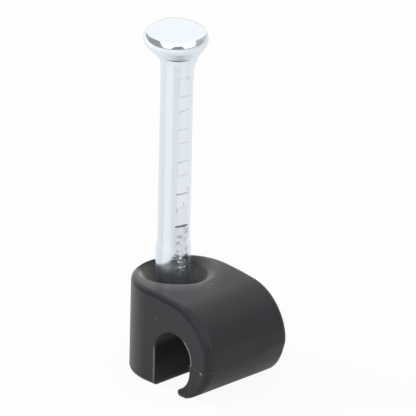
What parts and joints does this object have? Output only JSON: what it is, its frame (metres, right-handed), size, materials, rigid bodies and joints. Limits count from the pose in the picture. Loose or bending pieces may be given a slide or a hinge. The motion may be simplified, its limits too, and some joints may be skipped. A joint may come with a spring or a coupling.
{
  "type": "nail-in cable clip",
  "caption": "Small clip for a round cable: a moulded black saddle with a hooked slot over the cable, and a domed zinc-plated nail standing in its cup, ready to be driven into a wall.",
  "frame": {"origin": "on the nail's axis, in the plane of the wall that the clip stands on", "axes": "+Z away from the wall along the nail, +X from the nail to the cable, +Y along the cable"},
  "size_m": [0.0088, 0.0066, 0.0225],
  "materials": {
    "clip_plastic": "satin black moulded polyethylene",
    "nail_steel": "bright zinc plating with die marks"
  },
  "bodies": {
    "clip": {"clip_body": "clip_plastic"},
    "nail": {"nail": "nail_steel"}
  },
  "joints": [
    {"name": "nail_drive", "type": "slide", "parent": "clip", "child": "nail", "axis": [0, 0, 1], "range_m": [-0.0152, 0]}
  ]
}
